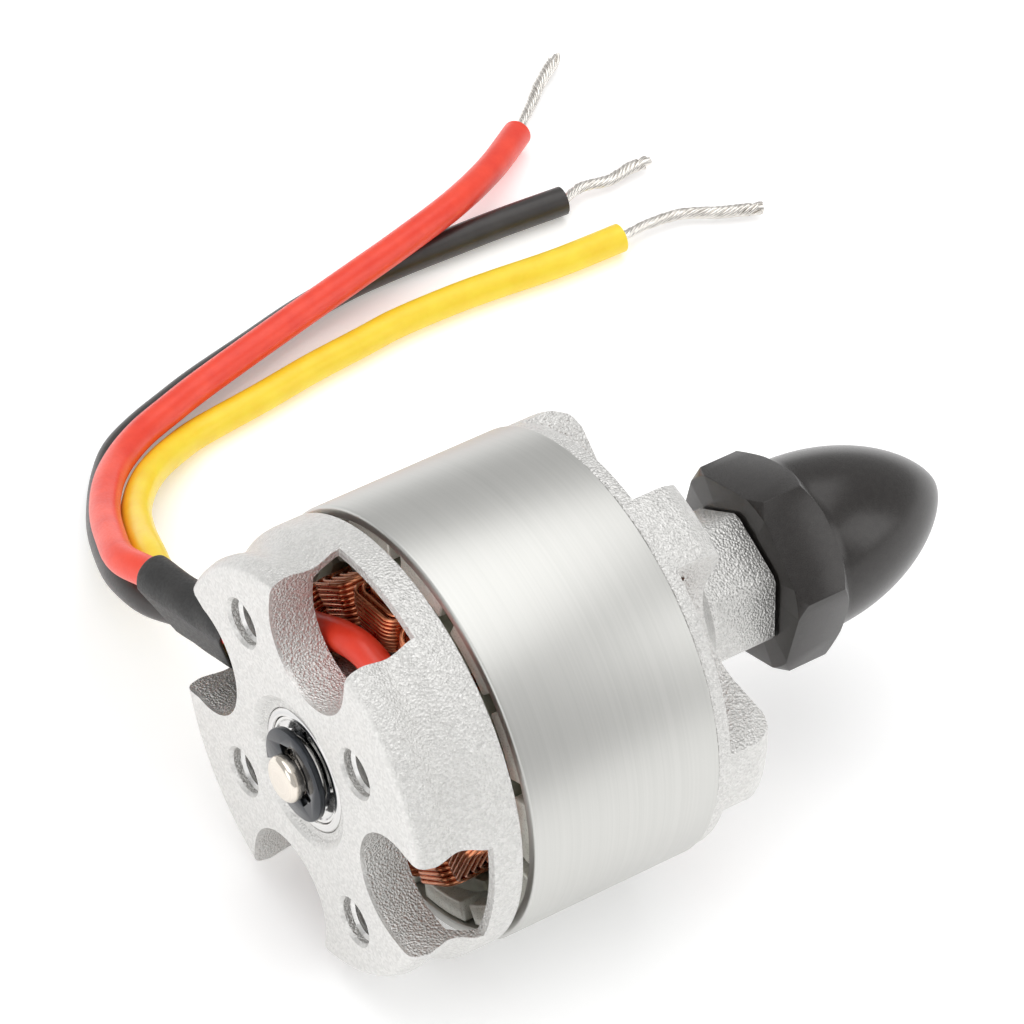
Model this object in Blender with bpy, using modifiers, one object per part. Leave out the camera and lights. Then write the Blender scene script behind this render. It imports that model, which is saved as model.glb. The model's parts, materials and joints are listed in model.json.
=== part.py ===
"""Brushless outrunner motor, 28 mm class, with its shaft along +X and its wires at +Y.

Frame: origin on the shaft axis in the rear mounting face, +X towards the propeller nut, +Z up.
Angles are measured round the axis from +Y towards +Z. Lengths below are in millimetres and
MM turns them into metres. Turned and extruded pieces are drawn with their own +Z along the axis.
"""

import bmesh
import bpy
from math import acos, asin, cos, degrees, pi, radians, sin
from mathutils import Matrix, Vector

MM = 0.001

# Driving dimensions, in millimetres and degrees
CAN_RADIUS = 13.96
CAN_WALL = 0.75
CAN_START, CAN_END = 7.45, 20.47
RIM_RADIUS, RIM_INNER = 13.85, 13.3
RIM_END = 6.7
PLATE = 3.0
TUBE_RADIUS = 4.75
TUBE_END = 20.4
WINDOW_HALF = 4.0
WIRE_WINDOW_HALF = 5.7
WINDOW_CENTRE = 10.8
WINDOW_TOP = 4.7
WIDE_HOLE_CIRCLE, NARROW_HOLE_CIRCLE = 9.5, 8.0
HOLE_RADIUS = 1.27
BEARING_RADIUS, BEARING_BORE, BEARING_WIDTH = 4.0, 1.53, 4.0
BEARING_STARTS = {"lower": 0.35, "upper": 16.2}
SEAT_RADIUS = 4.06
SHAFT_RADIUS = 1.5
SHAFT_START, SHAFT_END = -1.33, 29.4
TEETH, MAGNETS, SPOKES, BALLS = 12, 14, 5, 7
STATOR_RADIUS = 11.0
STATOR_START, STATOR_END = 8.0, 20.0
TOOTH_PHASE = 17.0
MAGNET_PHASE = 129.4 + 180 / 14
MAGNET_INNER, MAGNET_OUTER = 11.75, 13.12
MAGNET_START, MAGNET_END = 7.65, 19.5
MAGNET_ARC = 20.2
BELL_RADIUS = 13.8
SPOKE_PHASE = 35.5
SPOKE_WIDTH = 5.0
BELL_LIP, BELL_UNDER, BELL_TOP = 21.4, 22.7, 25.0
FLATS_PHASE = 51.5
STUD_RADIUS = 2.9
STUD_END = 43.0
NUT_PHASE = 37.0
NUT_START, NUT_TIP = 31.8, 46.65
NUT_CORNER = 6.8
CONE_START, CONE_RADIUS = 36.0, 5.57
LEAD_RADIUS = 1.0
TIP_RADIUS = 0.5

# Local X, Y, Z of a turned or extruded piece point along the motor's +Y, +Z, +X
AXIAL = Matrix(((0, 0, 1, 0), (1, 0, 0, 0), (0, 1, 0, 0), (0, 0, 0, 1)))

for old in list(bpy.data.objects):
    bpy.data.objects.remove(old, do_unlink=True)

parts = bpy.data.collections.new("brushless_outrunner_motor")
cutters = bpy.data.collections.new("cutters")
bpy.context.scene.collection.children.link(parts)
bpy.context.scene.collection.children.link(cutters)
cutters.hide_render = True


def material(name, colour, roughness, metallic):
    made = bpy.data.materials.new(name)
    made.use_nodes = True
    shader = made.node_tree.nodes["Principled BSDF"]
    shader.inputs["Base Color"].default_value = (*colour, 1)
    shader.inputs["Roughness"].default_value = roughness
    shader.inputs["Metallic"].default_value = metallic
    made.diffuse_color = (*colour, 1)
    return made


SANDBLASTED = material("sandblasted_aluminium", (0.62, 0.62, 0.61), 0.45, 1.0)
STEEL = material("bright_steel", (0.62, 0.58, 0.52), 0.2, 1.0)
CAN_STEEL = material("brushed_can_steel", (0.45, 0.45, 0.45), 0.3, 1.0)
NICKEL = material("nickel_magnet", (0.6, 0.57, 0.52), 0.25, 1.0)
CORE = material("coated_core", (0.06, 0.07, 0.06), 0.5, 0.0)
COPPER = material("enamelled_copper", (0.36, 0.1, 0.04), 0.3, 1.0)
CLIP_STEEL = material("dark_spring_steel", (0.16, 0.16, 0.16), 0.4, 1.0)
BLACK_NUT = material("black_anodised", (0.03, 0.026, 0.025), 0.3, 0.6)
CAGE = material("bearing_cage", (0.5, 0.45, 0.35), 0.4, 1.0)
TIN = material("tinned_strands", (0.6, 0.58, 0.55), 0.3, 1.0)
SLEEVE = material("heat_shrink", (0.03, 0.03, 0.03), 0.7, 0.0)
RUBBERS = {
    "red": material("red_silicone", (0.8, 0.08, 0.05), 0.5, 0.0),
    "yellow": material("yellow_silicone", (0.85, 0.6, 0.03), 0.5, 0.0),
    "black": material("black_silicone", (0.04, 0.035, 0.033), 0.5, 0.0),
}

motor = bpy.data.objects.new("motor_axis", None)
rotor = bpy.data.objects.new("rotor_axis", None)
for empty in (motor, rotor):
    parts.objects.link(empty)
motor.matrix_world = AXIAL
rotor.parent = motor


def add(name, mesh, finish=None, parent=motor, cutter=False):
    """Puts a mesh in the scene as a named piece, or as a hidden cutter."""
    piece = bpy.data.objects.new(name, mesh)
    (cutters if cutter else parts).objects.link(piece)
    piece.parent = parent
    if cutter:
        piece.hide_render = True
        piece.display_type = "WIRE"
    elif finish is not None and not mesh.materials:
        mesh.materials.append(finish)
    return piece


def evaluated_mesh(piece):
    """The mesh that a piece's curve or modifiers make, welded where caps meet sides."""
    graph = bpy.context.evaluated_depsgraph_get()
    mesh = bpy.data.meshes.new_from_object(piece.evaluated_get(graph))
    work = bmesh.new()
    work.from_mesh(mesh)
    bmesh.ops.remove_doubles(work, verts=work.verts, dist=1e-7)
    work.to_mesh(mesh)
    work.free()
    bpy.data.objects.remove(piece, do_unlink=True)
    return mesh


def smooth(mesh, angle=30):
    mesh.shade_smooth()
    mesh.set_sharp_from_angle(angle=radians(angle))


def turned(name, profile, steps, finish=None, parent=motor, cutter=False):
    """Turns a profile of (radius, height) points, run down its outer side, round the axis.

    A profile that starts and ends on the axis makes a solid; any other is closed into a ring.
    """
    mesh = bpy.data.meshes.new(name)
    corners = [(r * MM, 0, h * MM) for r, h in profile]
    edges = [(i, i + 1) for i in range(len(corners) - 1)]
    if profile[0][0] > 0:
        edges.append((len(corners) - 1, 0))
    mesh.from_pydata(corners, edges, [])
    piece = add(name, mesh, finish, parent, cutter)
    screw = piece.modifiers.new("turn", "SCREW")
    screw.steps = screw.render_steps = steps
    screw.use_merge_vertices = True
    screw.merge_threshold = 1e-7
    mesh = evaluated_mesh(piece)
    smooth(mesh)
    return add(name, mesh, finish, parent, cutter)


def outline_mesh(name, outlines, low, high):
    """Extrudes closed outlines of (x, y) points from one height to another; inner ones are holes."""
    curve = bpy.data.curves.new(name, "CURVE")
    curve.dimensions = "2D"
    curve.fill_mode = "BOTH"
    curve.extrude = (high - low) / 2 * MM
    for outline in outlines:
        spline = curve.splines.new("POLY")
        spline.points.add(len(outline) - 1)
        spline.use_cyclic_u = True
        for point, (x, y) in zip(spline.points, outline):
            point.co = (x * MM, y * MM, 0, 1)
    piece = bpy.data.objects.new(name, curve)
    parts.objects.link(piece)
    mesh = evaluated_mesh(piece)
    mesh.transform(Matrix.Translation((0, 0, (low + high) / 2 * MM)))
    smooth(mesh)
    return mesh


def cylinder_mesh(name, radius, low, high, steps=24, centre=(0, 0)):
    work = bmesh.new()
    bmesh.ops.create_cone(
        work, cap_ends=True, segments=steps, radius1=radius * MM,
        radius2=radius * MM, depth=(high - low) * MM,
        matrix=Matrix.Translation((centre[0] * MM, centre[1] * MM, (low + high) / 2 * MM)),
    )
    mesh = bpy.data.meshes.new(name)
    work.to_mesh(mesh)
    work.free()
    return mesh


def boolean(piece, other, operation="DIFFERENCE"):
    change = piece.modifiers.new(other.name, "BOOLEAN")
    change.operation = operation
    change.object = other


def baked(piece, finish):
    """Replaces a piece by the result of its modifiers."""
    name, parent = piece.name, piece.parent
    mesh = evaluated_mesh(piece)
    mesh.name = name
    smooth(mesh)
    return add(name, mesh, finish, parent)


def polar(radius, angle):
    return (radius * cos(radians(angle)), radius * sin(radians(angle)))


def arc(radius, start, end, steps, centre=(0, 0)):
    """Points on an arc, both ends included."""
    angles = [start + (end - start) * i / steps for i in range(steps + 1)]
    return [tuple(c + p for c, p in zip(centre, polar(radius, a))) for a in angles]


def turn(points, angle):
    c, s = cos(radians(angle)), sin(radians(angle))
    return [(x * c - y * s, x * s + y * c) for x, y in points]


def make_base_mount():
    outside = [
        (RIM_INNER, RIM_END), (RIM_RADIUS, RIM_END), (RIM_RADIUS, 5.0), (13.71, 4.2),
        (13.25, 3.4), (13.08, 2.7), (13.23, 1.9), (13.37, 1.05), (13.17, 0.3), (12.8, 0.0),
    ]
    nose = [(4.95, 0.0), (4.45, 0.4), (SEAT_RADIUS, 0.4)]
    bore = [
        (SEAT_RADIUS, BEARING_STARTS["lower"] + BEARING_WIDTH + 0.05),
        (3.5, BEARING_STARTS["lower"] + BEARING_WIDTH + 0.05),
        (3.5, BEARING_STARTS["upper"] - 0.05),
        (SEAT_RADIUS, BEARING_STARTS["upper"] - 0.05), (SEAT_RADIUS, TUBE_END),
    ]
    inside = [
        (TUBE_RADIUS, TUBE_END), (TUBE_RADIUS, STATOR_START - 0.1), (5.5, STATOR_START - 0.1),
        (5.6, PLATE), (12.3, PLATE), (12.7, 3.5), (13.2, 4.5),
    ]
    base = turned("base_mount", outside + nose + bore + inside, 48, SANDBLASTED)
    slot = arc(WINDOW_HALF, 90, 270, 12, (WINDOW_CENTRE, 0))
    reach = CAN_RADIUS + 2
    for number in range(4):
        mouth = WINDOW_HALF if number else WIRE_WINDOW_HALF
        outline = turn(slot + [(reach, -mouth), (reach, mouth)], 90 * number)
        window = outline_mesh(f"window_{number}", [outline], -1, WINDOW_TOP)
        boolean(base, add(f"window_{number}", window, cutter=True))
        circle = NARROW_HOLE_CIRCLE if number % 2 else WIDE_HOLE_CIRCLE
        centre = polar(circle, 45 + 90 * number)
        hole = cylinder_mesh(f"hole_{number}", HOLE_RADIUS, -1, PLATE + 1, 16, centre)
        boolean(base, add(f"hole_{number}", hole, cutter=True))
    baked(base, SANDBLASTED)


def make_bearing(which):
    """Rings, balls in their cage and two shields of one 3 x 8 x 4 bearing."""
    start = BEARING_STARTS[which]
    end, middle = start + BEARING_WIDTH, start + BEARING_WIDTH / 2
    outer_bore, inner_outside, pitch, ball = 3.47, 2.1, 2.785, 0.62
    shield = 0.25

    def ring(name, inner, outer, low, high, finish, parent=motor):
        profile = [(inner, high), (outer, high), (outer, low), (inner, low)]
        return turned(name, profile, 24, finish, parent)

    ring(f"{which}_outer_ring", outer_bore, BEARING_RADIUS, start, end, STEEL)
    ring(f"{which}_inner_ring", BEARING_BORE, inner_outside, start, end, STEEL, rotor)
    for face, low in (("rear", start + 0.15), ("front", end - 0.15 - shield)):
        ring(f"{which}_{face}_shield", inner_outside + 0.15, outer_bore - 0.05, low, low + shield,
             STEEL)
    cage = turned(f"{which}_ball_cage", [(2.45, middle + 0.3), (3.1, middle + 0.3),
                  (3.1, middle - 0.3), (2.45, middle - 0.3)], 28, CAGE)
    for number in range(BALLS):
        work = bmesh.new()
        place = Vector((*polar(pitch, 360 * number / BALLS), middle)) * MM
        bmesh.ops.create_uvsphere(work, u_segments=8, v_segments=5, radius=ball * MM,
                                  matrix=Matrix.Translation(place))
        mesh = bpy.data.meshes.new("ball")
        work.to_mesh(mesh)
        work.free()
        boolean(cage, add(f"{which}_ball_{number}", mesh, cutter=True), "UNION")
    baked(cage, CAGE)


def make_shaft():
    groove = 1.15
    profile = [
        (0, SHAFT_END), (SHAFT_RADIUS, SHAFT_END), (SHAFT_RADIUS, 0.1), (groove, 0.1),
        (groove, -0.4), (SHAFT_RADIUS, -0.4), (SHAFT_RADIUS, SHAFT_START + 0.2),
        (SHAFT_RADIUS - 0.2, SHAFT_START), (0, SHAFT_START),
    ]
    turned("shaft", profile, 24, STEEL, rotor)


def make_retainers():
    """An E-clip in the shaft's groove, its mouth at -45 degrees, and the shim behind it."""
    outer, seat, relief, mouth = 3.0, 1.22, 2.05, 1.1
    mouth_angle = degrees(asin(mouth / outer))
    outline = arc(outer, mouth_angle, 360 - mouth_angle, 20)
    inner = [polar(2.0, -33)] + arc(seat, -48, -72, 2) + arc(relief, -82, -128, 3)
    inner += arc(seat, -142, -218, 4) + arc(relief, -232, -278, 3) + arc(seat, -288, -312, 2)
    inner += [polar(2.0, -327)]
    clip = outline_mesh("retaining_clip", [turn(outline + inner, -45)], -0.35, 0.05)
    add("retaining_clip", clip, CLIP_STEEL, rotor)
    shim = [(1.56, 0.32), (2.05, 0.32), (2.05, 0.12), (1.56, 0.12)]
    turned("shim_washer", shim, 24, STEEL, rotor)


def make_rotor_can():
    inner = CAN_RADIUS - CAN_WALL
    profile = [
        (inner, CAN_END), (CAN_RADIUS, CAN_END), (CAN_RADIUS, CAN_START + 0.15),
        (CAN_RADIUS - 0.15, CAN_START), (inner, CAN_START),
    ]
    turned("rotor_can", profile, 56, CAN_STEEL, rotor)


def make_magnets():
    half = MAGNET_ARC / 2
    outline = arc(MAGNET_OUTER, -half, half, 4) + arc(MAGNET_INNER, half, -half, 4)
    mesh = outline_mesh("magnet", [outline], MAGNET_START, MAGNET_END)
    for number in range(MAGNETS):
        magnet = add(f"magnet_{number + 1:02d}", mesh, NICKEL, rotor)
        magnet.rotation_euler.z = radians(MAGNET_PHASE + 360 * number / MAGNETS)


def make_stator_core():
    yoke, neck, shoe, half_tooth, half_shoe = 6.3, 10.15, 10.45, 0.9, 12
    side = degrees(asin(half_tooth / yoke))
    tooth = [polar(yoke, -side), (neck, -half_tooth), polar(shoe, -half_shoe)]
    tooth += arc(STATOR_RADIUS, -half_shoe, half_shoe, 4)
    tooth += [polar(shoe, half_shoe), (neck, half_tooth), polar(yoke, side)]
    outline = []
    for number in range(TEETH):
        outline += turn(tooth, TOOTH_PHASE + 360 * number / TEETH)
    bore = arc(TUBE_RADIUS + 0.12, 0, 345, 23)
    mesh = outline_mesh("stator_core", [outline, bore], STATOR_START, STATOR_END)
    add("stator_core", mesh, CORE)


def make_windings():
    """A coil round each tooth: a tapered, rounded block with the tooth's clearance cut through."""
    inner, outer = 6.75, 9.95
    inner_half, outer_half = 1.6, 2.4
    low, high = 5.65, 22.2
    block = [(inner, -inner_half), (outer, -outer_half), (outer, outer_half), (inner, inner_half)]
    coil = add("winding", outline_mesh("winding", [block], low, high), COPPER)
    round_off = coil.modifiers.new("rounding", "BEVEL")
    round_off.width = 0.7 * MM
    round_off.segments = 2
    round_off.angle_limit = radians(30)
    hole = [(inner - 1, -1.05), (outer + 1, -1.05), (outer + 1, 1.05), (inner - 1, 1.05)]
    gap = 0.2
    cut = outline_mesh("tooth_clearance", [hole], STATOR_START - gap, STATOR_END + gap)
    boolean(coil, add("tooth_clearance", cut, cutter=True))
    mesh = evaluated_mesh(coil)
    smooth(mesh)
    for number in range(TEETH):
        winding = add(f"winding_{number + 1:02d}", mesh, COPPER)
        winding.rotation_euler.z = radians(TOOTH_PHASE + 360 * number / TEETH)


def rounded_hexagon(flat, corner, phase):
    """A hexagon whose flats are at one distance from the axis and its cut corners at another."""
    half = degrees(acos(flat / corner))
    points = []
    for number in range(6):
        middle = phase + 60 * number
        points += arc(corner, middle + half, middle + 60 - half, 1)
    return points


def make_bell():
    """Spoked cap with its spigot in the can, boss on the shaft, hexagon and stud."""
    boss, spigot, wall = 2.1, 13.14, 12.4
    outside = [
        (0, STUD_END), (STUD_RADIUS - 0.4, STUD_END), (STUD_RADIUS, STUD_END - 0.4),
        (STUD_RADIUS, 31.55), (4.2, 31.55), (4.2, 26.9), (4.75, 26.8), (6.7, BELL_TOP),
        (12.2, BELL_TOP), (13.0, 24.7), (13.55, 24.2), (BELL_RADIUS, 23.4),
        (BELL_RADIUS, CAN_END + 0.05), (spigot, CAN_END + 0.05), (spigot, MAGNET_END + 0.2),
    ]
    inside = [
        (wall, MAGNET_END + 0.2), (wall, BELL_LIP), (11.8, BELL_UNDER), (4.2, BELL_UNDER),
        (3.9, 21.0), (boss, 20.7), (boss, BEARING_STARTS["upper"] + BEARING_WIDTH + 0.06),
        (SHAFT_RADIUS + 0.03, BEARING_STARTS["upper"] + BEARING_WIDTH + 0.06),
        (SHAFT_RADIUS + 0.03, SHAFT_END + 0.3), (0, SHAFT_END + 0.3),
    ]
    bell = turned("bell", outside + inside, 48, SANDBLASTED, rotor)
    flats = outline_mesh("bell_flats", [rounded_hexagon(4.1, 4.6, FLATS_PHASE)], 26.85, 31.6)
    bore = [(SHAFT_RADIUS + 0.03, SHAFT_END + 0.3), (SHAFT_RADIUS + 0.03, 20)]
    collar = add("bell_flats", flats, cutter=True)
    boolean(collar, turned("shaft_bore", [(0, bore[0][1]), *bore, (0, 20)], 48, cutter=True))
    boolean(bell, collar, "UNION")
    half_spoke, reach, half_gap, inner_end = SPOKE_WIDTH / 2, 9.0, 180 / SPOKES, 7.1
    across, along = sin(radians(half_gap)), cos(radians(half_gap))
    centre = (inner_end - half_spoke) / (1 - across)
    fillet = centre * across - half_spoke
    far = (centre - fillet * across + reach * along, fillet * along + reach * across)
    gap = arc(fillet, 90 + half_gap, 270 - half_gap, 8, (centre, 0))
    gap += [(far[0], -far[1]), far]
    for number in range(SPOKES):
        angle = SPOKE_PHASE + half_gap + 360 * number / SPOKES
        window = outline_mesh(f"gap_{number}", [turn(gap, angle)], BELL_LIP, BELL_TOP + 1)
        boolean(bell, add(f"gap_{number}", window, cutter=True))
    baked(bell, SANDBLASTED)


def make_prop_nut():
    """Hexagon and bullet nose in one piece, bored for the stud."""
    bore, nose_steps = 3.05, 7
    reach = NUT_TIP - CONE_START
    nose = []
    for i in range(nose_steps + 1):
        share = sin(pi / 2 * i / nose_steps)
        nose.append((CONE_RADIUS * (1 - share * share) ** 0.66, CONE_START + reach * share))
    body = [(0, nose[-1][1])] + nose[-2::-1]
    blank = NUT_CORNER + 0.05
    body += [(CONE_RADIUS, 35.9), (6.05, 35.7), (blank, 34.8), (blank, 32.5),
             (6.3, NUT_START), (bore, NUT_START), (bore, STUD_END + 0.3), (0, STUD_END + 0.3)]
    nut = turned("prop_nut", body, 36, BLACK_NUT, rotor)
    corners = arc(NUT_CORNER, NUT_PHASE, NUT_PHASE + 300, 5)
    keep = outline_mesh("nut_hexagon", [corners], NUT_START - 1, NUT_TIP + 1)
    boolean(nut, add("nut_hexagon", keep, cutter=True), "INTERSECT")
    baked(nut, BLACK_NUT)


# The wires leave through the +Y window inside the sleeve: its mouth, its direction, and the
# direction in which the three wires are stacked. Each wire's place is across that stack.
SLEEVE_MOUTH = Vector((2.23, 17.66, -2.59))
SLEEVE_ALONG = Vector((-0.03, 0.935, -0.352)).normalized()
SLEEVE_STACK = Vector((0.728, 0.307, 0.613)).cross(SLEEVE_ALONG).normalized()
SLEEVE_ACROSS = SLEEVE_ALONG.cross(SLEEVE_STACK)
SLEEVE_LENGTH, SLEEVE_SKEW = 8.1, 0.72
SLEEVE_SPOTS = {"red": (1.96, 0.55), "yellow": (0.0, 0.0), "black": (-1.96, -0.55)}
LEAD_STEP = 3.2

# Routes in the motor's own frame: from the end of each coil to the sleeve, and from the
# sleeve's mouth down to the table and along it
LEAD_INSIDE = {
    "red": [(4.4, -3.0, 7.8), (4.3, 0.0, 8.2), (4.25, 2.5, 7.25), (4.25, 5.0, 5.5),
            (4.25, 6.9, 4.25), (4.2, 8.6, 3.0), (3.0, 9.4, 2.45)],
    "yellow": [],
    "black": [(4.1, 8.9, -2.3)],
}
LEAD_OUTSIDE = {
    "red": [(1.2, 21.8, -2.7), (2.6, 25.4, -4.9), (4.5, 29.2, -7.2), (6.8, 32.6, -9.0),
            (9.3, 35.2, -10.4), (11.9, 36.9, -11.0), (14.8, 38.0, -11.2), (17.6, 38.9, -11.3),
            (21.9, 39.8, -11.0), (26.4, 40.7, -10.7), (31.0, 41.8, -10.7), (35.7, 43.0, -10.8),
            (41.0, 44.6, -11.0), (45.6, 46.9, -11.8), (49.7, 49.7, -12.8)],
    "yellow": [(3.7, 22.6, -4.3), (5.3, 26.3, -6.7), (7.2, 29.8, -9.0), (9.5, 32.7, -10.7),
               (11.8, 34.7, -11.9), (14.1, 35.9, -12.5), (16.4, 36.7, -12.9),
               (21.4, 37.3, -12.9), (25.6, 37.9, -12.9), (29.8, 38.3, -12.9),
               (32.8, 38.6, -12.9), (37.1, 38.6, -12.9), (40.5, 38.4, -12.9),
               (45.2, 38.0, -12.9), (50.2, 37.9, -12.9)],
    "black": [(2.4, 20.4, -5.8), (2.5, 23.4, -7.0), (3.2, 26.0, -8.2), (4.8, 29.8, -10.0),
              (6.7, 33.1, -11.7), (8.7, 35.9, -12.6), (10.6, 37.8, -12.9), (12.9, 38.9, -12.9),
              (15.7, 39.8, -12.9), (18.5, 40.6, -12.9), (23.0, 41.6, -12.9),
              (27.5, 42.6, -12.9), (31.8, 43.2, -12.9), (36.1, 43.3, -12.9),
              (40.2, 43.2, -12.9), (43.9, 43.1, -12.9), (48.8, 42.8, -12.9)],
}
TIP_ROUTES = {
    "red": [(50.0, 49.95, -12.85), (52.4, 51.9, -13.0), (54.0, 53.3, -13.15), (56.6, 55.1, -13.2)],
    "yellow": [(50.5, 37.95, -12.95), (52.6, 38.2, -13.1), (55.2, 38.0, -13.2),
               (57.7, 36.8, -13.2), (60.5, 35.7, -13.2)],
    "black": [(49.1, 42.85, -12.95), (50.7, 43.4, -13.1), (52.9, 43.1, -13.2),
              (54.8, 43.4, -13.2), (56.4, 43.3, -13.2)],
}


def smooth_route(points, step):
    """Points about one step apart on a smooth curve (Catmull-Rom) through a route's points."""
    route = [Vector(p) for p in points]
    route = [2 * route[0] - route[1]] + route + [2 * route[-1] - route[-2]]
    found = []
    for a, b, c, d in zip(route, route[1:], route[2:], route[3:]):
        count = max(1, round((c - b).length / step))
        for i in range(count):
            t = i / count
            found.append(0.5 * (2 * b + (c - a) * t + (2 * a - 5 * b + 4 * c - d) * t * t
                                + (3 * b - a - 3 * c + d) * t * t * t))
    return found + [route[-2]]


def tube(name, points, radius, finish):
    curve = bpy.data.curves.new(name, "CURVE")
    curve.dimensions = "3D"
    curve.bevel_depth = radius * MM
    curve.bevel_resolution = 2
    curve.use_fill_caps = True
    spline = curve.splines.new("POLY")
    spline.points.add(len(points) - 1)
    for point, place in zip(spline.points, points):
        point.co = (*(place * MM), 1)
    curve.materials.append(finish)
    piece = bpy.data.objects.new(name, curve)
    parts.objects.link(piece)


def make_leads():
    for colour, (stacked, across) in SLEEVE_SPOTS.items():
        mouth = SLEEVE_MOUTH + SLEEVE_STACK * stacked + SLEEVE_ACROSS * across
        inside = SLEEVE_LENGTH + SLEEVE_SKEW * stacked
        in_sleeve = [mouth - SLEEVE_ALONG * (inside * share) for share in (1, 0.5, 0)]
        route = LEAD_INSIDE[colour] + in_sleeve + LEAD_OUTSIDE[colour]
        tube(f"lead_{colour}", smooth_route(route, LEAD_STEP), LEAD_RADIUS, RUBBERS[colour])
        tube(f"lead_tip_{colour}", smooth_route(TIP_ROUTES[colour], 2.0), TIP_RADIUS, TIN)


def around_wires(radius, steps=24):
    """The outline that a skin makes round the three wires at one distance from their centres."""
    outline = []
    for number in range(steps):
        x, y = polar(1, 360 * (number + 0.5) / steps)
        spot = max(SLEEVE_SPOTS.values(), key=lambda s: s[0] * x + s[1] * y)
        outline.append((spot[0] + radius * x, spot[1] + radius * y))
    return outline


def make_sleeve():
    wall, room = 0.2, 0.1
    outlines = [around_wires(LEAD_RADIUS + room + wall), around_wires(LEAD_RADIUS + room)]
    mesh = outline_mesh("lead_sleeve", outlines, 0.6 - SLEEVE_LENGTH, 0)
    for corner in mesh.vertices:
        if corner.co.z < -MM:
            corner.co.z -= SLEEVE_SKEW * corner.co.x
    columns = (SLEEVE_STACK, SLEEVE_ACROSS, SLEEVE_ALONG)
    place = Matrix([[column[row] for column in columns] for row in range(3)]).to_4x4()
    mesh.transform(Matrix.Translation(SLEEVE_MOUTH * MM) @ place)
    add("lead_sleeve", mesh, SLEEVE, parent=None)


make_base_mount()
make_bearing("lower")
make_bearing("upper")
make_shaft()
make_retainers()
make_rotor_can()
make_magnets()
make_stator_core()
make_windings()
make_bell()
make_prop_nut()
make_leads()
make_sleeve()
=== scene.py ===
"""Looks of the brushless outrunner motor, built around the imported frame.

Lengths are written in millimetres and become metres where a mesh or curve is made. The motor's
axis is +X, its rear mounting face lies at x = 0, and angles run from +Y towards +Z.
"""

import json
import random
from math import acos, asin, cos, degrees, pi, radians, sin, sqrt, tau

import bmesh
import bpy
from mathutils import Matrix, Vector, noise

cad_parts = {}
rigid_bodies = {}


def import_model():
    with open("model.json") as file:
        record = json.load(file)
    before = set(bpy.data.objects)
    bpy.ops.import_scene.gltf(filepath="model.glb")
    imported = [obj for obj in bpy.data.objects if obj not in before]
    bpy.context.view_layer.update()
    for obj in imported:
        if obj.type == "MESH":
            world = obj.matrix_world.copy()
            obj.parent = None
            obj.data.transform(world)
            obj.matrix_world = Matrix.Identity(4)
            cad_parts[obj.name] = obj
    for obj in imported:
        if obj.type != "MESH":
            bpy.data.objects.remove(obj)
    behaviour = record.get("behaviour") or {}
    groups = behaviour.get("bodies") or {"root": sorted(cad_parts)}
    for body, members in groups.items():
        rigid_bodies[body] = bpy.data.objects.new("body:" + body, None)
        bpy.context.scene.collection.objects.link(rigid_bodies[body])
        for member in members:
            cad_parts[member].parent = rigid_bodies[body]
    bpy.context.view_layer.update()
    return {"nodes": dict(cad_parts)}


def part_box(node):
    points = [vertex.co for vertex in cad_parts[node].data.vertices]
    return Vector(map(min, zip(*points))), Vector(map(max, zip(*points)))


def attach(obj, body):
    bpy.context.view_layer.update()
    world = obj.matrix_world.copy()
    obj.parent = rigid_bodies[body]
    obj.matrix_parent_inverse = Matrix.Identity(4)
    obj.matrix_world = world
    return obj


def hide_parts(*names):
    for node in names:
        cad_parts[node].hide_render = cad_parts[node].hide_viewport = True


for old in list(bpy.data.objects):
    bpy.data.objects.remove(old, do_unlink=True)
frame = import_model()

MM = 0.001


def along(node):
    """(start, end) of a CAD node along the axis, in millimetres."""
    low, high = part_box(node)
    return low.x / MM, high.x / MM


# Sizes read from the frame
CAN_START, CAN_END = along("rotor_can")
CAN_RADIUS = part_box("rotor_can")[1].z / MM
RIM_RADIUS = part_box("base_mount")[1].z / MM
TUBE_END = along("base_mount")[1]
STATOR_START, STATOR_END = along("stator_core")
STATOR_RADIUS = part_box("stator_core")[1].z / MM
COIL_START, COIL_END = along("winding_01")
SHAFT_START, SHAFT_END = along("shaft")
SHAFT_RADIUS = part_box("shaft")[1].z / MM
MAGNET_START, MAGNET_END = along("magnet_01")
STUD_END = along("bell")[1]
NUT_START, NUT_TIP = along("prop_nut")
CLIP_START, CLIP_END = along("retaining_clip")
BEARINGS = {which: along(f"{which}_outer_ring") for which in ("lower", "upper")}
BEARING_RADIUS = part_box("lower_outer_ring")[1].z / MM
TABLE = -CAN_RADIUS

# Sizes and phases that the design fixes
PLATE = 3.0
WINDOW_HALF, WINDOW_CENTRE, WINDOW_TOP = 4.0, 10.8, 4.7
WIRE_WINDOW_HALF = 5.7
HOLE_CIRCLES = (9.5, 8.0)
TEETH, MAGNETS, SPOKES = 12, 14, 5
TOOTH_PHASE = 17.0
MAGNET_PHASE = 129.4 + 180 / MAGNETS
SPOKE_PHASE, FLATS_PHASE, NUT_PHASE = 35.5, 51.5, 37.0
BELL_RADIUS, BELL_LIP, BELL_UNDER, BELL_TOP = 13.8, 21.4, 22.7, 25.0
STUD_RADIUS, STUD_PITCH = 2.9, 1.0
NUT_CORNER, CONE_START, CONE_RADIUS = 6.8, 36.0, 5.57
LEAD_RADIUS, TIP_RADIUS = 1.0, 0.5

# The camera stands where the reference view was taken from
CAMERA_PLACE = Vector((-131.51, -187.23, 269.27)) * MM
CAMERA_AXES = ((0.8305, -0.5529, 0.0679), (0.3678, 0.6357, 0.6787), (-0.4184, -0.5386, 0.7313))
CAMERA_LENS = 210.94

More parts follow.
